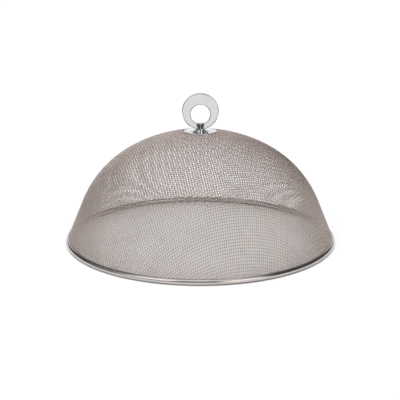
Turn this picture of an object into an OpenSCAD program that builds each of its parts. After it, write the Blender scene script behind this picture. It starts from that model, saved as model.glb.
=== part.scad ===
// Wire mesh food cover: a pressed dome of open wire cloth in a rolled steel rim,
// lifted by a flat finger ring that one screw holds through the crown.
// Millimetres, +Z up, origin on the table under the middle of the rim. The ring faces -Y.

/* [Cover] */
// Outside diameter over the rim
cover_d = 350; // [290:1:410]
// Height of the wire cloth at the crown, above the table
dome_h = 142.3; // [120:0.1:166]
// Length of the straight skirt, from the middle of the rim up to the shoulder
skirt_l = 51.2; // [40:0.1:60]
// Angle of the straight skirt from level
skirt_angle = 67.2; // [62:0.1:74]
// Slope at which the crown's arc passes into the shoulder's
crown_angle = 29.6; // [24:0.1:36]

/* [Wire cloth] */
// Distance between wires, along the surface
mesh_pitch = 8; // [7:0.5:16]
// Width of a wire
wire_w = 1; // [0.8:0.1:1.6]
// Height of a wire
wire_t = 0.5; // [0.4:0.05:0.7]
// Turn of the wires away from straight ahead
mesh_turn = 14; // [0:1:45]
// Diameter of the plain patch that is clamped under the handle
crown_patch_d = 30; // [26:1:36]

/* [Rim] */
// Diameter of the rolled bead
bead_d = 6.8; // [6:0.1:8]
// Thickness of the rolled sheet
band_t = 0.5; // [0.4:0.05:0.6]
// Depth of the flat that the bead stands on
foot_flat = 0.2; // [0.1:0.05:0.3]
// Distance from the middle of the bead to the middle of the wire cloth
hem_offset = 1; // [0.8:0.1:1.1]

/* [Handle] */
// Outside diameter of the finger ring
ring_d = 46.6; // [43:0.1:52]
// Diameter of the finger hole
finger_d = 24.6; // [20:0.1:26]
// How far the finger hole sits below the middle of the ring
finger_drop = 3.9; // [2:0.1:4.6]
// Thickness of the ring
ring_t = 5; // [4:0.1:7]
// Rounding along the edges of the ring
ring_edge = 1.2; // [0.6:0.1:1.8]
// Diameter of the boss at the foot of the ring
boss_d = 10.8; // [9.5:0.1:12]
// Height of the boss
boss_h = 8.4; // [7.6:0.1:9]
// Diameter of the flared rosette under the ring
rosette_d = 42; // [38:0.5:48]
// Thickness of the rosette
rosette_t = 0.6; // [0.5:0.05:0.7]
// Height of the rosette's hub above the wire cloth
hub_h = 2; // [1.8:0.1:2.6]
// How far the rosette's flare dips below a straight line
flare_sag = 0.5; // [0.2:0.1:0.7]
// Diameter of the round lip at the rosette's edge
lip_d = 1.1; // [1:0.1:1.4]
// How far the rosette's hub stands out past the boss
hub_margin = 0.8; // [0.5:0.1:1.5]
// Rounding round the top of the boss
boss_edge = 0.6; // [0.3:0.1:1]

/* [Fastening] */
// Thread diameter of the screw
screw_d = 4; // [3:0.5:5]
// Diameter of the screw's head
head_d = 8; // [7.5:0.5:10]
// Height of the screw's head
head_h = 2.4; // [1.8:0.1:3]
// Width of the screw's slot
slot_w = 1; // [0.6:0.1:1.4]
// Depth of the screw's slot
slot_h = 1.2; // [0.6:0.1:1.5]
// Depth of the threaded hole in the boss
thread_depth = 6.4; // [5:0.1:7]
// Diameter of the dished washer inside the dome
washer_d = 30; // [26:1:34]
// Thickness of the dished washer
washer_t = 1; // [0.8:0.1:1.5]
// Outside diameter of the spring washer
spring_d = 7.6; // [7:0.1:9]
// Thickness of the spring washer
spring_t = 1; // [0.8:0.1:1.4]
// Width of the split in the spring washer
spring_slit = 0.6; // [0.4:0.1:1]

/* [Hidden] */
$fn = 96;
EPS = 0.01;

// Gap between pieces that lie on each other
seat_gap = 0.05;
// Gap on each side of the wire cloth in the mouth of the rim
mouth_gap = 0.1;
// Room round the screw in the pieces that it passes through, on the diameter
screw_play = 0.5;
// Room round the thread in the boss, on the diameter
thread_play = 0.1;
// Room past the screw's tip in the threaded hole
tip_gap = 0.5;

// Wire cloth: the two layers lie either side of the dome's middle surface
cloth_half = wire_t + seat_gap / 2;

// Rim
bead_r = bead_d / 2;
bore_r = bead_r - band_t;
bead_ring_r = cover_d / 2 - bead_r;
bead_z = bead_r - foot_flat;
core_r = (bore_r + hem_offset - cloth_half - 2 * mouth_gap) / 2;
core_shift = hem_offset - cloth_half - mouth_gap - core_r;

// Meridian: crown arc, shoulder arc, straight skirt that passes the bead at hem_offset.
// Both arcs' radii follow from the rise and the reach between the crown and the skirt's top
skirt_r = bead_ring_r + hem_offset * sin(skirt_angle);
skirt_z = bead_z + hem_offset * cos(skirt_angle);
skirt_top_r = skirt_r - skirt_l * cos(skirt_angle);
rise = dome_h - skirt_z - skirt_l * sin(skirt_angle);
turn = skirt_angle - crown_angle;
bulge = sin(turn) - sin(skirt_angle) + sin(crown_angle);
crown_r = (skirt_top_r * (cos(crown_angle) - cos(skirt_angle))
    - rise * (sin(skirt_angle) - sin(crown_angle))) / bulge;
shoulder_r = (rise * sin(crown_angle) - skirt_top_r * (1 - cos(crown_angle))) / bulge;
crown_z = dome_h - crown_r;
shoulder_cr = (crown_r - shoulder_r) * sin(crown_angle);
shoulder_cz = crown_z + (crown_r - shoulder_r) * cos(crown_angle);
crown_s = crown_r * crown_angle * PI / 180;
shoulder_s = shoulder_r * turn * PI / 180;

// The plain hem starts just inside the mouth of the rim and ends level with the middle of the bead
hem_top = sqrt(bore_r * bore_r - hem_offset * hem_offset);
hem_z = skirt_z + hem_top * sin(skirt_angle);
hem_end_z = bead_z;
net_s = crown_s + shoulder_s + skirt_l - hem_top;
wire_n = floor((net_s - mesh_pitch / 2) / mesh_pitch);

// Handle, upwards from the wire cloth at the crown
cloth_top = dome_h + cloth_half;
hub_z = cloth_top + seat_gap;
boss_z = hub_z + hub_h + seat_gap;
ring_z = boss_z + ring_d / 2;
hub_r = boss_d / 2 + hub_margin;
lip_r = lip_d / 2;
lip_ring_r = rosette_d / 2 - lip_r;
lip_z = crown_z + sqrt(pow(crown_r + cloth_half + seat_gap + lip_r, 2) - lip_ring_r * lip_ring_r);

// Fastening, downwards from the wire cloth at the crown
screw_hole_d = screw_d + screw_play;
washer_top_r = crown_r - cloth_half - seat_gap;
washer_z = crown_z + sqrt(pow(washer_top_r - washer_t, 2) - pow(spring_d / 2, 2));
spring_z = washer_z - seat_gap - spring_t;
head_z = spring_z - seat_gap;
screw_tip = boss_z + thread_depth - tip_gap;

// Radius and slope of the meridian at a distance from the crown along the surface
function meridian_r(s) =
    s < crown_s ? crown_r * sin(s / crown_r * 180 / PI)
    : s < crown_s + shoulder_s
        ? shoulder_cr + shoulder_r * sin(crown_angle + (s - crown_s) / shoulder_r * 180 / PI)
    : skirt_top_r + (s - crown_s - shoulder_s) * cos(skirt_angle);
function meridian_slope(s) =
    s < crown_s ? s / crown_r * 180 / PI
    : s < crown_s + shoulder_s ? crown_angle + (s - crown_s) / shoulder_r * 180 / PI
    : skirt_angle;

// Place of a wire along X, and the width that its slope leaves of it there
function wire_x(i) = sign(i) * meridian_r(abs(i) * mesh_pitch);
function wire_span(i) = wire_w * cos(meridian_slope(abs(i) * mesh_pitch));

// Half section of the space under the meridian, grown by an amount. The larger disc ends
// at the joint of the two arcs, and the smaller one is whole
module dome_area(grow) {
    if (crown_r > shoulder_r) {
        intersection() {
            crown_disc(grow);
            joint_side(-cover_d);
        }
        shoulder_disc(grow);
    } else {
        crown_disc(grow);
        intersection() {
            shoulder_disc(grow);
            joint_side(0);
        }
    }
    skirt_band(grow - shoulder_r, grow, skirt_l, bead_d);
}

module crown_disc(grow) {
    translate([0, crown_z])
        circle(r = crown_r + grow);
}

module shoulder_disc(grow) {
    translate([shoulder_cr, shoulder_cz])
        circle(r = shoulder_r + grow);
}

// One side of the line through the middles of both arcs, which meet on it
module joint_side(from) {
    translate([0, crown_z])
        rotate(-crown_angle)
            translate([from, -cover_d])
                square([cover_d, 2 * cover_d]);
}

// Straight skirt between two distances from the point where it passes the bead
module skirt_band(inner, outer, above, below) {
    translate([skirt_r, skirt_z])
        rotate(-skirt_angle)
            translate([-above, inner])
                square([above + below, outer - inner]);
}

// Slots between neighbouring wires, clear of the crown patch and of the hem
module wire_gaps(top) {
    difference() {
        for (i = [-wire_n - 1 : wire_n]) {
            from = i < -wire_n ? -cover_d / 2 : wire_x(i) + wire_span(i) / 2;
            to = i == wire_n ? cover_d / 2 : wire_x(i + 1) - wire_span(i + 1) / 2;
            translate([from, -cover_d / 2, hem_z])
                cube([to - from, cover_d, top - hem_z]);
        }
        cylinder(d = crown_patch_d, h = top + EPS);
    }
}

// One layer of wire cloth: wires across X, joined at the crown patch and at the hem
module cloth_layer(inner, outer) {
    difference() {
        rotate_extrude()
            difference() {
                intersection() {
                    dome_area(outer);
                    translate([0, hem_end_z])
                        square([cover_d, dome_h * 2]);
                }
                dome_area(inner);
            }
        wire_gaps(dome_h + outer + EPS);
        cylinder(d = screw_hole_d, h = dome_h * 2);
    }
}

// Outer wires, which run from front to back
module mesh_warp() {
    color([0.70, 0.66, 0.63])
        rotate(mesh_turn)
            cloth_layer(seat_gap / 2, cloth_half);
}

// Inner wires, which run from side to side
module mesh_weft() {
    color([0.66, 0.62, 0.60])
        rotate(mesh_turn + 90)
            cloth_layer(-cloth_half, -seat_gap / 2);
}

// Core wire of the rim, inside the hem
module rim_wire() {
    color([0.62, 0.62, 0.63])
        rotate_extrude()
            translate([bead_ring_r + core_shift * sin(skirt_angle), bead_z + core_shift * cos(skirt_angle)])
                circle(r = core_r);
}

// Rolled rim: a tube of sheet, open along the mouth that holds the hem
module rim_band() {
    color([0.80, 0.80, 0.80])
        rotate_extrude()
            difference() {
                translate([bead_ring_r, bead_z])
                    circle(r = bead_r);
                translate([bead_ring_r, bead_z])
                    circle(r = bore_r);
                skirt_band(-cloth_half - mouth_gap, cloth_half + mouth_gap, bead_d, 0);
                translate([0, -bead_d])
                    square([cover_d, bead_d]);
            }
}

// Disc with rounded edges, on the XY plane
module round_disc(d, t, edge) {
    rotate_extrude() {
        translate([0, -t / 2])
            square([d / 2 - edge, t]);
        translate([0, edge - t / 2])
            square([d / 2, t - 2 * edge]);
        for (z = [edge - t / 2, t / 2 - edge])
            translate([d / 2 - edge, z])
                circle(r = edge);
    }
}

// Cutter for a hole whose rims are rounded
module round_hole(d, t, edge) {
    rotate_extrude()
        difference() {
            translate([0, -t / 2 - EPS])
                square([d / 2 + edge, t + 2 * EPS]);
            translate([d / 2, edge - t / 2])
                square([edge * 2, t - 2 * edge]);
            for (z = [edge - t / 2, t / 2 - edge])
                translate([d / 2 + edge, z])
                    circle(r = edge);
        }
}

// Finger ring with an off-centre hole, and the boss that takes the screw
module handle_ring() {
    color([0.84, 0.84, 0.84])
        difference() {
            union() {
                translate([0, 0, ring_z])
                    rotate([90, 0, 0])
                        difference() {
                            round_disc(ring_d, ring_t, ring_edge);
                            translate([0, -finger_drop, 0])
                                round_hole(finger_d, ring_t, ring_edge);
                        }
                translate([0, 0, boss_z]) {
                    cylinder(d = boss_d, h = boss_h - boss_edge);
                    cylinder(d = boss_d - 2 * boss_edge, h = boss_h);
                    translate([0, 0, boss_h - boss_edge])
                        rotate_extrude()
                            translate([boss_d / 2 - boss_edge, 0])
                                circle(r = boss_edge);
                }
            }
            translate([0, 0, boss_z - EPS])
                cylinder(d = screw_d + thread_play, h = thread_depth + EPS);
        }
}

// Flared rosette: a hub under the boss and a dished skirt that ends in a round lip
module handle_rosette() {
    top = [hub_r, hub_z + hub_h];
    edge = [lip_ring_r, lip_z + lip_r];
    chord = norm(edge - top);
    lean = atan2(top[1] - edge[1], edge[0] - top[0]);
    flare_r = chord * chord / (8 * flare_sag) + flare_sag / 2;
    middle = (top + edge) / 2 + (flare_r - flare_sag) * [sin(lean), cos(lean)];
    color([0.82, 0.82, 0.82])
        difference() {
            rotate_extrude() {
                translate([0, hub_z])
                    square([hub_r, hub_h]);
                intersection() {
                    difference() {
                        translate(middle)
                            circle(r = flare_r + rosette_t, $fn = 360);
                        translate(middle)
                            circle(r = flare_r, $fn = 360);
                    }
                    translate([hub_r - EPS, crown_z])
                        square([lip_ring_r - hub_r + EPS, crown_r * 2]);
                    square([rosette_d, hub_z + hub_h]);
                }
                translate([lip_ring_r, lip_z])
                    circle(r = lip_r);
            }
            cylinder(d = screw_hole_d, h = boss_z);
        }
}

// Dished washer that backs the wire cloth inside the dome
module backing_washer() {
    color([0.74, 0.74, 0.74])
        difference() {
            rotate_extrude()
                intersection() {
                    translate([0, crown_z])
                        difference() {
                            circle(r = washer_top_r);
                            circle(r = washer_top_r - washer_t);
                        }
                    square([washer_d / 2, dome_h]);
                }
            cylinder(d = screw_hole_d, h = dome_h * 2);
        }
}

// Split spring washer, drawn flat as it is when tight
module spring_washer() {
    color([0.60, 0.60, 0.60])
        translate([0, 0, spring_z])
            difference() {
                cylinder(d = spring_d, h = spring_t);
                translate([0, 0, -EPS])
                    cylinder(d = screw_hole_d, h = spring_t + 2 * EPS);
                translate([0, -spring_slit / 2, -EPS])
                    cube([spring_d, spring_slit, spring_t + 2 * EPS]);
            }
}

// Slotted screw from inside the dome
module handle_screw() {
    color([0.72, 0.72, 0.72])
        difference() {
            union() {
                translate([0, 0, head_z - head_h])
                    cylinder(d = head_d, h = head_h);
                translate([0, 0, head_z - EPS])
                    cylinder(d = screw_d, h = screw_tip - head_z + EPS);
            }
            translate([-head_d, -slot_w / 2, head_z - head_h - EPS])
                cube([head_d * 2, slot_w, slot_h + EPS]);
        }
}

mesh_warp();
mesh_weft();
rim_wire();
rim_band();
handle_ring();
handle_rosette();
backing_washer();
spring_washer();
handle_screw();
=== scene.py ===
"""Wire mesh food cover: woven wires drawn over a dome, a rolled steel rim and a finger ring."""

import math

import bmesh
import bpy
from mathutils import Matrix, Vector


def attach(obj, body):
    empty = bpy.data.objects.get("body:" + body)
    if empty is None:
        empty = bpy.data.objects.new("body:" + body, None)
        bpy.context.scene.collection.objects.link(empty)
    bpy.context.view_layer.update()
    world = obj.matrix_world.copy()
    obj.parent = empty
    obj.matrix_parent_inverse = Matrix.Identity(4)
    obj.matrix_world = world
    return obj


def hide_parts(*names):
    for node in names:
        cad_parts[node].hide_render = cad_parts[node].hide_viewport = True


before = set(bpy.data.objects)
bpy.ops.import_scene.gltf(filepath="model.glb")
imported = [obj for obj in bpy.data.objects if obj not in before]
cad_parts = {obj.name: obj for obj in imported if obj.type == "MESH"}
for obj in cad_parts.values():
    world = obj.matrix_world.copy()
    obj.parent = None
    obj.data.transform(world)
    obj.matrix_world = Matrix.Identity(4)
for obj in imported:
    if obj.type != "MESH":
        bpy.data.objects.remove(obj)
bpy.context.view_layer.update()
scene = bpy.context.scene

MM = 0.001

# Dome, as in the part's source
COVER_D = 350 * MM
DOME_H = 142.3 * MM
SKIRT_L = 51.2 * MM
SKIRT_ANGLE = math.radians(67.2)
CROWN_ANGLE = math.radians(29.6)

# Rim
BEAD_R = 3.4 * MM
BAND_T = 0.5 * MM
FOOT_FLAT = 0.2 * MM
HEM_OFFSET = 1 * MM         # from the middle of the bead to the middle of the cloth
CLOTH_HALF = 0.525 * MM     # half the room that the cloth takes
MOUTH_GAP = 0.1 * MM        # gap on each side of the cloth in the mouth of the rim

# Handle
SEAT_GAP = 0.05 * MM        # gap between pieces that lie on each other
RING_R = 23.3 * MM
RING_T = 5 * MM
RING_EDGE = 1.2 * MM
FINGER_R = 12.3 * MM
FINGER_DROP = 3.9 * MM
BOSS_R = 5.4 * MM
BOSS_H = 8.4 * MM
BOSS_EDGE = 0.6 * MM
THREAD_R = 2.05 * MM
THREAD_DEPTH = 6.4 * MM
SCREW_HOLE_R = 2.25 * MM
HUB_R = 6.2 * MM
HUB_H = 2 * MM
ROSETTE_R = 21 * MM
ROSETTE_T = 0.6 * MM
FLARE_SAG = 0.5 * MM
LIP_R = 0.55 * MM
LIP_FROM, LIP_TO = 75, -175         # degrees between which the round lip shows past the flare
LIP_CLEAR = 1.05                    # where the flare's underside starts, in radii of the lip

# How finely the rim and the handle are divided
RIM_TURNS, RING_TURNS, BOSS_TURNS, ROSETTE_TURNS = 320, 160, 64, 128
BEAD_STEPS, EDGE_STEPS, FLARE_STEPS, LIP_STEPS = 72, 8, 24, 16
SHARP_ANGLE = math.radians(18)
HOLD = 0.05 * MM            # strip beside a rounded edge, which keeps the flat next to it flat in the light
SAME_POINT = 1e-7

# Where the rim and the handle sit, and the radii of the dome's crown and shoulder
BEAD_RING_R = COVER_D / 2 - BEAD_R
BEAD_Z = BEAD_R - FOOT_FLAT
SKIRT_TOP_R = BEAD_RING_R + HEM_OFFSET * math.sin(SKIRT_ANGLE) - SKIRT_L * math.cos(SKIRT_ANGLE)
RISE = DOME_H - BEAD_Z - HEM_OFFSET * math.cos(SKIRT_ANGLE) - SKIRT_L * math.sin(SKIRT_ANGLE)
BULGE = math.sin(SKIRT_ANGLE - CROWN_ANGLE) - math.sin(SKIRT_ANGLE) + math.sin(CROWN_ANGLE)
CROWN_R = (SKIRT_TOP_R * (math.cos(CROWN_ANGLE) - math.cos(SKIRT_ANGLE))
           - RISE * (math.sin(SKIRT_ANGLE) - math.sin(CROWN_ANGLE))) / BULGE
SHOULDER_R = (RISE * math.sin(CROWN_ANGLE) - SKIRT_TOP_R * (1 - math.cos(CROWN_ANGLE))) / BULGE
HUB_Z = DOME_H + CLOTH_HALF + SEAT_GAP
BOSS_Z = HUB_Z + HUB_H + SEAT_GAP

# Wire cloth
PITCH = 3.15 * MM
WIRE_D = 0.82 * MM
WIRE_SIDES = 6
STEPS = 4                   # points along a wire from one crossing to the next
WARP_TURN = math.radians(12)
WEFT_TURN = math.radians(16.5)
PRESSED = 0.25              # what is left of the waves where the cloth is clamped
CLAMP_R = 12 * MM
EASE = 8 * MM               # distance over which the waves grow to their full height
STRETCH = 1.6               # how the drawn blank lengthens towards the rim, per square metre
BLANK_ROUNDS = 30           # rounds in which the blank's radius settles
WIRE_END = 0.7 * MM         # how far the wires stop short of the skirt's lower end
# Way along the dome's section from the crown to the ends of the wires
HEM_RUN = CROWN_R * CROWN_ANGLE + SHOULDER_R * (SKIRT_ANGLE - CROWN_ANGLE) + SKIRT_L - WIRE_END
INNER_SHARE = 0.404         # how far out a layer's inner pieces reach, so that all hold about as much wire
STRIP_SHARE = 0.9           # how much of its strip on the map for baking a wire fills
WRAP_SPREAD = 3.0           # spread of the side numbers on a face, past which the count starts again there

# Finishes
DULL_FROM, DULL_TO = 105 * MM, 70 * MM      # heights between which the drawn wires turn duller
NOISE_LOW, NOISE_HIGH = 0.3, 0.7            # stretch of the noise over which tint and gloss change
GLOSS_FINER = 7                             # how much finer the gloss drifts than the tint
TINT_DETAIL, GLOSS_DETAIL = 4.0, 3.0

# Right half of the table's outline, in metres, from the front: a notch in front of the cover leaves a neck
# that lights the flat ring, while the round boss shows the dark beside it; behind the cover it widens
TABLE_HALF = ((0.78, -2.5), (0.78, -0.8), (0.034, -0.8), (0.034, -0.45), (0.4, -0.45), (0.74, -0.05),
              (0.78, 0.35), (4, 9))
TABLE = TABLE_HALF + tuple((-x, y) for x, y in reversed(TABLE_HALF))
TABLE_Z = -0.3 * MM         # just clear of the flat under the rim
TABLE_WHITE = 0.9

# Soft light cards round the cover, in degrees: left and right edge from the front, lower edge and how softly
# it fades, upper edge; then the card's level
CARDS = {
    "left": (-74, -24, 20, 25, 75, 1.7),
    "front": (-24, 18, 0, 4, 60, 0.32),
    "right": (18, 58, 0, 4, 52, 1.6),
    "over_front": (-62, 46, 58, 8, 100, 1.35),
    "far_left": (-118, -74, 24, 8, 60, 0.42),
    "over_left": (-200, -80, 62, 8, 100, 1.25),
    "over_right": (46, 140, 60, 8, 100, 0.85),
    "over_back": (140, 200, 62, 8, 100, 1.3),
}
CARD_SOFT = 8
TOP_FROM, TOP_LEVEL = 84, 1.35
# White backdrop, in degrees: how far round it starts, how high it reaches, how soft its sides are; its level
BACK_FROM, BACK_TO, BACK_SOFT, BACK_LEVEL = 150, 26, 12, 1.0
ROOM_LEVEL = 0.10
LAMP_SPREAD, LAMP_LEVEL = math.radians(60), 1.75

# Camera
CAMERA_FAR = 1.1675         # from the middle of the table
CAMERA_EL = math.radians(18.439)
AIM = Vector((-0.0005, 0, 0.05097))
LENS, SENSOR = 79.471, 36.0


# Helpers

class Number:
    """A number in a node tree, for plain sums."""

    def __init__(self, tree, socket):
        self.tree = tree
        self.socket = socket

    def work_out(self, operation, *others):
        node = self.tree.nodes.new("ShaderNodeMath")
        node.operation = operation
        for k, value in enumerate((self, *others)):
            feed(self.tree, value, node.inputs[k])
        return Number(self.tree, node.outputs[0])

    def __add__(self, other):
        return self.work_out("ADD", other)

    def __sub__(self, other):
        return self.work_out("SUBTRACT", other)

    def __mul__(self, other):
        return self.work_out("MULTIPLY", other)

    def __truediv__(self, other):
        return self.work_out("DIVIDE", other)

    def __gt__(self, other):
        return self.work_out("GREATER_THAN", other)

    def __lt__(self, other):
        return self.work_out("LESS_THAN", other)

    def at_most(self, other):
        return self.work_out("MINIMUM", other)

    def at_least(self, other):
        return self.work_out("MAXIMUM", other)

    def sin(self):
        return self.work_out("SINE")

    def cos(self):
        return self.work_out("COSINE")

    def sqrt(self):
        return self.work_out("SQRT")


def feed(tree, value, socket):
    """A number, a socket or a plain value goes into a socket."""
    if isinstance(value, Number):
        tree.links.new(value.socket, socket)
    elif isinstance(value, bpy.types.NodeSocket):
        tree.links.new(value, socket)
    else:
        socket.default_value = value


def put(tree, kind, settings=None, **inputs):
    """A node with its settings, and its inputs by name with _ for a space."""
    node = tree.nodes.new(kind)
    for key, value in (settings or {}).items():
        setattr(node, key, value)
    for key, value in inputs.items():
        feed(tree, value, node.inputs[key.replace("_", " ")])
    return node


def vector(tree, x=0.0, y=0.0, z=0.0):
    """A vector from numbers or plain values."""
    return put(tree, "ShaderNodeCombineXYZ", X=x, Y=y, Z=z).outputs[0]


def note(tree, geometry, **values):
    """Geometry that keeps some values of its points, and those values as numbers."""
    node = put(tree, "GeometryNodeCaptureAttribute", Geometry=geometry)
    for name, value in values.items():
        node.capture_items.new("FLOAT", name)
        feed(tree, value, node.inputs[name])
    return node.outputs["Geometry"], *(Number(tree, node.outputs[name]) for name in values)


def stand_for(piece, node):
    """The piece rides the cover and takes the place of a CAD node."""
    scene.collection.objects.link(piece)
    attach(piece, "root")
    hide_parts(node)


# Wire cloth

CLOTH_INPUTS = {
    "Pitch": "Float", "Wire Diameter": "Float", "Step": "Float", "First Wire": "Float", "Wires": "Int",
    "Points": "Int", "Reach": "Float", "Over": "Float", "Across": "Float",
    "Warp Turn": "Float", "Weft Turn": "Float", "Stretch": "Float",
    "Crown Radius": "Float", "Shoulder Radius": "Float", "Crown Slope": "Float", "Skirt Slope": "Float",
    "Crown Height": "Float", "Hem": "Float", "Hole Radius": "Float",
    "Clamp Radius": "Float", "Ease": "Float", "Pressed": "Float", "Finish": "Material",
}


def flat_wires(tree, given, size):
    """Straight wires on the flat blank: one line of points, copied once for each wire."""
    one_wire = put(tree, "GeometryNodeMeshLine", Count=given["Points"],
                   Start_Location=vector(tree, y=size["Reach"] * -1), Offset=vector(tree, y=size["Step"]))
    places = put(tree, "GeometryNodeMeshLine", Count=given["Wires"],
                 Start_Location=vector(tree, x=size["First Wire"] * size["Pitch"]),
                 Offset=vector(tree, x=size["Pitch"]))
    copies = put(tree, "GeometryNodeInstanceOnPoints", Points=places.outputs[0],
                 Instance=one_wire.outputs[0])
    return put(tree, "GeometryNodeRealizeInstances", Geometry=copies.outputs[0]).outputs[0]


def drawn_over_dome(tree, size, row, along):
    """Where a point of the flat wires comes to lie on the dome, and whether it is cut off."""
    # Place on the blank: the weft wires swap row and length, and the two layers aren't quite square
    u = row + (along - row) * size["Across"]
    v = along + (row - along) * size["Across"]
    warp, weft = size["Warp Turn"], size["Weft Turn"]
    square = (warp - weft).cos()
    x = (u * weft.cos() - v * warp.sin()) / square
    y = (u * weft.sin() + v * warp.cos()) / square
    blank = (x * x + y * y).sqrt()
    run = blank + blank * blank * blank * size["Stretch"]

    # Down the meridian: crown arc, shoulder arc, straight skirt
    crown_r, shoulder_r = size["Crown Radius"], size["Shoulder Radius"]
    crown_a, skirt_a = size["Crown Slope"], size["Skirt Slope"]
    crown_run, shoulder_run = crown_r * crown_a, shoulder_r * (skirt_a - crown_a)
    on_crown = run.at_most(crown_run) / crown_r
    past_crown = (run - crown_run).at_least(0.0).at_most(shoulder_run) / shoulder_r
    past_shoulder = (run - crown_run - shoulder_run).at_least(0.0)
    bend = crown_a + past_crown
    radius = (crown_r * on_crown.sin() + shoulder_r * (bend.sin() - crown_a.sin())
              + past_shoulder * skirt_a.cos())
    height = (size["Crown Height"] - crown_r * (on_crown.cos() * -1 + 1.0)
              - shoulder_r * (crown_a.cos() - bend.cos()) - past_shoulder * skirt_a.sin())
    slope = on_crown + past_crown

    # The weave, pressed flatter under the handle and in the mouth of the rim
    pitch = size["Pitch"]
    from_clamp = (blank - size["Clamp Radius"]) / size["Ease"]
    from_hem = (size["Hem"] - run) / size["Ease"]
    free = from_clamp.at_most(from_hem).at_least(size["Pressed"]).at_most(1.0)
    wave = (u / pitch * math.pi).cos() * (v / pitch * math.pi).cos()
    lift = wave * free * size["Over"] * size["Wire Diameter"] * 0.5
    out = (radius + lift * slope.sin()) / blank
    cut_off = (run > size["Hem"]).at_least(blank < size["Hole Radius"])
    return vector(tree, x * out, y * out, height + lift * slope.cos()), cut_off


def round_wires(tree, size, paths):
    """Tubes along the wires' paths, and the number of the side on which each point lies."""
    ring = put(tree, "GeometryNodeCurvePrimitiveCircle", {"mode": "RADIUS"}, Resolution=WIRE_SIDES,
               Radius=size["Wire Diameter"] * 0.5)
    numbered, side = note(tree, ring.outputs[0], side=put(tree, "GeometryNodeInputIndex").outputs[0])
    tubes = put(tree, "GeometryNodeCurveToMesh", Curve=paths, Profile_Curve=numbered, Fill_Caps=True)
    return tubes.outputs[0], side


def baking_map(tree, given, tubes, wire, share, side):
    """Map for baking: one strip for each wire, cut open along the side where the count starts again."""
    def over_face(value):
        node = put(tree, "GeometryNodeFieldOnDomain", {"domain": "FACE", "data_type": "FLOAT"})
        feed(tree, value, node.inputs[0])
        return Number(tree, node.outputs[0])

    mean = over_face(side)
    last_side = (over_face(side * side) - mean * mean) > WRAP_SPREAD
    unrolled = side + last_side * (side < 0.5) * WIRE_SIDES
    strip = (wire + unrolled * (STRIP_SHARE / WIRE_SIDES)) / Number(tree, given["Wires"])
    return put(tree, "GeometryNodeStoreNamedAttribute", {"data_type": "FLOAT2", "domain": "CORNER"},
               Geometry=tubes, Name="OFBake", Value=vector(tree, share, strip)).outputs[0]


def wire_cloth_tree():
    """Wires of one direction, laid out flat, woven, and drawn over the dome."""
    tree = bpy.data.node_groups.new("Woven wire cloth", "GeometryNodeTree")
    for name, kind in CLOTH_INPUTS.items():
        tree.interface.new_socket(name, in_out="INPUT", socket_type="NodeSocket" + kind)
    tree.interface.new_socket("Geometry", in_out="OUTPUT", socket_type="NodeSocketGeometry")
    given = tree.nodes.new("NodeGroupInput").outputs
    size = {name: Number(tree, given[name]) for name, kind in CLOTH_INPUTS.items() if kind == "Float"}

    place = put(tree, "GeometryNodeInputPosition").outputs[0]
    spot = put(tree, "ShaderNodeSeparateXYZ", Vector=place).outputs
    row, along = Number(tree, spot["X"]), Number(tree, spot["Y"])
    drawn, cut_off = drawn_over_dome(tree, size, row, along)
    kept = put(tree, "GeometryNodeDeleteGeometry", {"domain": "POINT", "mode": "ALL"},
               Geometry=flat_wires(tree, given, size), Selection=cut_off)
    noted, wire, share = note(tree, kept.outputs[0], wire=row / size["Pitch"] - size["First Wire"],
                              share=along / size["Reach"] * 0.5 + 0.5)
    shaped = put(tree, "GeometryNodeSetPosition", Geometry=noted, Position=drawn)
    paths = put(tree, "GeometryNodeMeshToCurve", Mesh=shaped.outputs[0])
    tubes, side = round_wires(tree, size, paths.outputs[0])
    mapped = baking_map(tree, given, tubes, wire, share, side)
    smooth = put(tree, "GeometryNodeSetShadeSmooth", Geometry=mapped)
    real = put(tree, "GeometryNodeRealizeInstances", Geometry=smooth.outputs[0])
    finished = put(tree, "GeometryNodeSetMaterial", Geometry=real.outputs[0], Material=given["Finish"])
    tree.links.new(finished.outputs[0], tree.nodes.new("NodeGroupOutput").inputs[0])
    return tree


def blank_radius():
    """Radius of the flat blank whose edge comes to lie at the hem."""
    radius = HEM_RUN
    for _ in range(BLANK_ROUNDS):
        radius = HEM_RUN - STRETCH * radius ** 3
    return radius


def cloth_shares():
    """First and last wire of the four pieces in which a layer is made."""
    outermost, inner = int(blank_radius() / PITCH), int(INNER_SHARE * blank_radius() / PITCH)
    return (-outermost, -inner - 1), (-inner, 0), (1, inner), (inner + 1, outermost)


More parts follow.
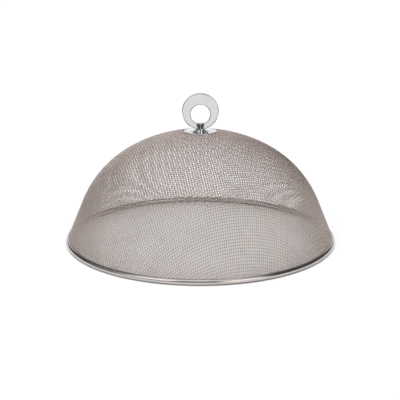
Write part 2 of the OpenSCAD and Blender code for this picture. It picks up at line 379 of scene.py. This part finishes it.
def woven_wires(name, tree, first, last, weft, finish, node):
    """One piece of the cloth, as a plain mesh that stands for a CAD layer."""
    holder = bpy.data.objects.new(name + "_holder", bpy.data.meshes.new(name + "_holder"))
    scene.collection.objects.link(holder)
    modifier = holder.modifiers.new("Wires", "NODES")
    modifier.node_group = tree
    each_side = math.ceil(blank_radius() / PITCH)
    values = {
        "Pitch": PITCH, "Wire Diameter": WIRE_D, "Step": PITCH / STEPS,
        "First Wire": float(first), "Wires": last - first + 1,
        "Points": 2 * STEPS * each_side + 1, "Reach": each_side * PITCH,
        "Over": -1.0 if weft else 1.0, "Across": 1.0 if weft else 0.0,
        "Warp Turn": WARP_TURN, "Weft Turn": WEFT_TURN, "Stretch": STRETCH,
        "Crown Radius": CROWN_R, "Shoulder Radius": SHOULDER_R,
        "Crown Slope": CROWN_ANGLE, "Skirt Slope": SKIRT_ANGLE,
        "Crown Height": DOME_H, "Hem": HEM_RUN, "Hole Radius": SCREW_HOLE_R + WIRE_D / 2,
        "Clamp Radius": CLAMP_R, "Ease": EASE, "Pressed": PRESSED, "Finish": finish,
    }
    for item in tree.interface.items_tree:
        if item.item_type == "SOCKET" and item.in_out == "INPUT":
            modifier[item.identifier] = values[item.name]
    holder.update_tag()
    graph = bpy.context.evaluated_depsgraph_get()
    mesh = bpy.data.meshes.new_from_object(holder.evaluated_get(graph))
    bpy.data.objects.remove(holder)
    mesh.name = name
    stand_for(bpy.data.objects.new(name, mesh), node)


# Rim and handle

def arc(middle, radius, start, end, steps):
    """Points on an arc, with angles in degrees from the first axis."""
    angles = [math.radians(start + (end - start) * k / steps) for k in range(steps + 1)]
    return [(middle[0] + radius * math.cos(a), middle[1] + radius * math.sin(a)) for a in angles]


def skin(name, shells, finish):
    """Closed mesh through rings of points, one shell after the other."""
    form = bmesh.new()
    for loops in shells:
        made = [[form.verts.new(p) for p in loop] for loop in loops]
        for one, other in zip(made, made[1:] + made[:1]):
            for k in range(len(one)):
                form.faces.new((one[k - 1], one[k], other[k], other[k - 1]))
    bmesh.ops.remove_doubles(form, verts=form.verts, dist=SAME_POINT)
    bmesh.ops.delete(form, geom=[e for e in form.edges if not e.link_faces], context="EDGES")
    bmesh.ops.recalc_face_normals(form, faces=form.faces)
    mesh = bpy.data.meshes.new(name)
    form.to_mesh(mesh)
    form.free()
    mesh.shade_smooth()
    mesh.set_sharp_from_angle(angle=SHARP_ANGLE)
    mesh.materials.append(finish)
    return bpy.data.objects.new(name, mesh)


def turned(outline, steps):
    """Rings of points of an outline (radius, height) turned about the middle."""
    turns = [2 * math.pi * k / steps for k in range(steps)]
    return [[(r * math.cos(a), r * math.sin(a), z) for r, z in outline] for a in turns]


def rim_outline():
    """Sheet rolled into a bead, open along the mouth that holds the cloth."""
    up = 180 - math.degrees(SKIRT_ANGLE)
    middle = (BEAD_RING_R, BEAD_Z)
    lips = (HEM_OFFSET + CLOTH_HALF + MOUTH_GAP, HEM_OFFSET - CLOTH_HALF - MOUTH_GAP)
    sheet = []
    for radius, order in ((BEAD_R, 1), (BEAD_R - BAND_T, -1)):
        outer, inner = (math.degrees(math.asin(lip / radius)) for lip in lips)
        sheet += arc(middle, radius, up - outer, up - inner - 360, BEAD_STEPS)[::order]
    return [(r, max(z, 0.0)) for r, z in sheet]


def rosette_outline():
    """Hub under the boss and a dished flare that ends in a round lip."""
    crown_z = DOME_H - CROWN_R
    lip_ring_r = ROSETTE_R - LIP_R
    lip_z = crown_z + math.sqrt((CROWN_R + CLOTH_HALF + SEAT_GAP + LIP_R) ** 2 - lip_ring_r ** 2)
    top, edge = (HUB_R, HUB_Z + HUB_H), (lip_ring_r, lip_z + LIP_R)
    chord = math.dist(top, edge)
    lean = math.atan2(top[1] - edge[1], edge[0] - top[0])
    flare_r = chord * chord / (8 * FLARE_SAG) + FLARE_SAG / 2
    middle = ((top[0] + edge[0]) / 2 + (flare_r - FLARE_SAG) * math.sin(lean),
              (top[1] + edge[1]) / 2 + (flare_r - FLARE_SAG) * math.cos(lean))

    def flare(radius, start, end):
        reach = [start + (end - start) * k / FLARE_STEPS for k in range(FLARE_STEPS + 1)]
        return [(r, middle[1] - math.sqrt(radius * radius - (r - middle[0]) ** 2)) for r in reach]

    return ([(SCREW_HOLE_R, HUB_Z), (SCREW_HOLE_R, HUB_Z + HUB_H)]
            + flare(flare_r, HUB_R, lip_ring_r)
            + arc((lip_ring_r, lip_z), LIP_R, LIP_FROM, LIP_TO, LIP_STEPS)
            + flare(flare_r + ROSETTE_T, lip_ring_r - LIP_R * LIP_CLEAR, HUB_R)
            + [(HUB_R, HUB_Z)])


def boss_outline():
    """Round boss with a blind threaded hole from below."""
    top, hole_top = BOSS_Z + BOSS_H, BOSS_Z + THREAD_DEPTH
    return ([(0, hole_top), (THREAD_R, hole_top), (THREAD_R, BOSS_Z), (BOSS_R, BOSS_Z)]
            + [(BOSS_R, top - BOSS_EDGE - HOLD)]
            + arc((BOSS_R - BOSS_EDGE, top - BOSS_EDGE), BOSS_EDGE, 0, 90, EDGE_STEPS)
            + [(BOSS_R - BOSS_EDGE - HOLD, top), (0, top)])


def ring_loops(steps):
    """Flat ring with an off-centre hole, rounded at all four edges."""
    face, flat = RING_T / 2, RING_T / 2 - RING_EDGE
    rim_r, hole_r = RING_R - RING_EDGE, FINGER_R + RING_EDGE
    rim = ([(rim_r - HOLD, -face)] + arc((rim_r, -flat), RING_EDGE, -90, 0, EDGE_STEPS)
           + arc((rim_r, flat), RING_EDGE, 0, 90, EDGE_STEPS) + [(rim_r - HOLD, face)])
    hole = ([(hole_r + HOLD, face)] + arc((hole_r, flat), RING_EDGE, 90, 180, EDGE_STEPS)
            + arc((hole_r, -flat), RING_EDGE, 180, 270, EDGE_STEPS) + [(hole_r + HOLD, -face)])
    high = BOSS_Z + RING_R
    loops = []
    for k in range(steps):
        c, s = math.cos(2 * math.pi * k / steps), math.sin(2 * math.pi * k / steps)
        loops.append([(r * c, y, high + r * s) for r, y in rim]
                     + [(r * c, y, high - FINGER_DROP + r * s) for r, y in hole])
    return loops


# Finishes

def metal(name, tints, gloss, grain, skirt_dull=0.0):
    """Metal whose tint and gloss drift over the piece, and which skirt_dull makes duller down the skirt."""
    material = bpy.data.materials.new(name)
    material.use_nodes = True
    tree = material.node_tree
    shader = tree.nodes["Principled BSDF"]
    shader.inputs["Metallic"].default_value = 1.0
    place = put(tree, "ShaderNodeTexCoord").outputs["Object"]
    drift = put(tree, "ShaderNodeTexNoise", Vector=place, Scale=grain, Detail=TINT_DETAIL)
    ramp = put(tree, "ShaderNodeValToRGB", Fac=drift.outputs[0])
    for element, position, tint in zip(ramp.color_ramp.elements, (NOISE_LOW, NOISE_HIGH), tints):
        element.position = position
        element.color = (*tint, 1)
    tree.links.new(ramp.outputs[0], shader.inputs["Base Color"])
    fine = put(tree, "ShaderNodeTexNoise", Vector=place, Scale=grain * GLOSS_FINER, Detail=GLOSS_DETAIL)
    shine = put(tree, "ShaderNodeMapRange", Value=fine.outputs[0], From_Min=NOISE_LOW, From_Max=NOISE_HIGH,
                To_Min=gloss[0], To_Max=gloss[1])
    rough = Number(tree, shine.outputs[0])
    if skirt_dull:
        height = put(tree, "ShaderNodeSeparateXYZ", Vector=place).outputs["Z"]
        drawn = put(tree, "ShaderNodeMapRange", {"interpolation_type": "SMOOTHSTEP"}, Value=height,
                    From_Min=DULL_FROM, From_Max=DULL_TO, To_Min=0.0, To_Max=skirt_dull)
        rough = rough + Number(tree, drawn.outputs[0])
    feed(tree, rough, shader.inputs["Roughness"])
    return material


def finish_solid(node, finish):
    """A CAD node that stays as it is gets a better material."""
    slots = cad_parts[node].data.materials
    slots.clear()
    slots.append(finish)


# Stage, light and camera

def make_table():
    """White matte table that takes the cover's shadow."""
    mesh = bpy.data.meshes.new("floor")
    mesh.from_pydata([(x, y, TABLE_Z) for x, y in TABLE], [], [range(len(TABLE))])
    floor = bpy.data.objects.new("floor", mesh)
    scene.collection.objects.link(floor)
    material = bpy.data.materials.new("white_table")
    material.use_nodes = True
    tree = material.node_tree
    tree.nodes.clear()
    matte = put(tree, "ShaderNodeBsdfDiffuse", Color=(TABLE_WHITE, TABLE_WHITE, TABLE_WHITE, 1))
    tree.links.new(matte.outputs[0], put(tree, "ShaderNodeOutputMaterial").inputs["Surface"])
    mesh.materials.append(material)


def make_studio():
    """Light cards in a dim room. The camera sees white all round, and metal sees a white backdrop behind."""
    world = bpy.data.worlds.new("studio")
    scene.world = world
    world.use_nodes = True
    tree = world.node_tree
    tree.nodes.clear()
    way = put(tree, "ShaderNodeTexCoord").outputs["Generated"]
    toward = put(tree, "ShaderNodeSeparateXYZ", Vector=way).outputs
    turn = Number(tree, toward["X"]).work_out("ARCTAN2", Number(tree, toward["Y"]) * -1)
    up = Number(tree, toward["Z"]).work_out("ARCSINE")

    def past(value, edge, soft):
        step = put(tree, "ShaderNodeMapRange", {"interpolation_type": "SMOOTHSTEP"}, Value=value,
                   From_Min=math.radians(edge - soft), From_Max=math.radians(edge + soft),
                   To_Min=0.0, To_Max=1.0)
        return Number(tree, step.outputs[0])

    level = (past(up, TOP_FROM, CARD_SOFT) * TOP_LEVEL).at_least(ROOM_LEVEL)
    for left, right, low, fade, high, card_level in CARDS.values():
        across = past(turn, left, CARD_SOFT) - past(turn, right, CARD_SOFT)
        upright = past(up, low, fade) - past(up, high, CARD_SOFT)
        level = level.at_least(across * upright * card_level)
    behind = past((turn * turn).sqrt(), BACK_FROM, BACK_SOFT)
    backdrop = behind * (past(up, BACK_TO, CARD_SOFT) * -1 + 1.0) * BACK_LEVEL
    path = put(tree, "ShaderNodeLightPath").outputs
    level = level.at_least(backdrop * Number(tree, path["Is Glossy Ray"]))
    for ray in ("Is Camera Ray", "Is Transmission Ray"):
        level = level.at_least(Number(tree, path[ray]))
    light = put(tree, "ShaderNodeBackground", Color=(1, 1, 1, 1), Strength=level)
    tree.links.new(light.outputs[0], put(tree, "ShaderNodeOutputWorld").inputs["Surface"])


def make_table_light():
    """Soft light from straight above, which metal doesn't mirror."""
    data = bpy.data.lights.new("table_light", "SUN")
    data.angle, data.energy = LAMP_SPREAD, LAMP_LEVEL
    lamp = bpy.data.objects.new("table_light", data)
    lamp.visible_glossy = False
    scene.collection.objects.link(lamp)


def make_camera():
    """Camera in front, a little above the crown, with the whole cover in view."""
    data = bpy.data.cameras.new("camera")
    data.sensor_width, data.lens = SENSOR, LENS
    camera = bpy.data.objects.new("camera", data)
    camera.location = (AIM.x, -CAMERA_FAR * math.cos(CAMERA_EL), CAMERA_FAR * math.sin(CAMERA_EL))
    camera.rotation_euler = (AIM - camera.location).to_track_quat("-Z", "Y").to_euler()
    scene.collection.objects.link(camera)
    scene.camera = camera


# The cover

wire_steel = metal("wire_steel", tints=((0.60, 0.513, 0.478), (0.675, 0.588, 0.553)), gloss=(0.18, 0.26),
                   grain=30, skirt_dull=0.1)
rim_steel = metal("rim_steel", tints=((0.50, 0.47, 0.45), (0.56, 0.53, 0.51)), gloss=(0.06, 0.12),
                  grain=60)
ring_chrome = metal("ring_chrome", tints=((0.64, 0.64, 0.64), (0.68, 0.68, 0.68)), gloss=(0.03, 0.06),
                    grain=80)
plated_steel = metal("plated_steel", tints=((0.52, 0.52, 0.50), (0.60, 0.59, 0.55)), gloss=(0.30, 0.42),
                     grain=200)

cloth = wire_cloth_tree()
for layer, weft in (("warp", False), ("weft", True)):
    for k, (first, last) in enumerate(cloth_shares(), start=1):
        woven_wires(f"{layer}_wires_{k}", cloth, first, last, weft, wire_steel, "mesh_" + layer)

rolled_rim = skin("rolled_rim", [turned(rim_outline(), RIM_TURNS)], rim_steel)
stand_for(rolled_rim, "rim_band")
finger_ring = skin("finger_ring", [ring_loops(RING_TURNS), turned(boss_outline(), BOSS_TURNS)], ring_chrome)
stand_for(finger_ring, "handle_ring")
flared_rosette = skin("flared_rosette", [turned(rosette_outline(), ROSETTE_TURNS)], ring_chrome)
stand_for(flared_rosette, "handle_rosette")

finish_solid("rim_wire", rim_steel)
for fastening in ("backing_washer", "spring_washer", "handle_screw"):
    finish_solid(fastening, plated_steel)

make_table()
make_studio()
make_table_light()
make_camera()
scene.view_settings.view_transform = "Standard"
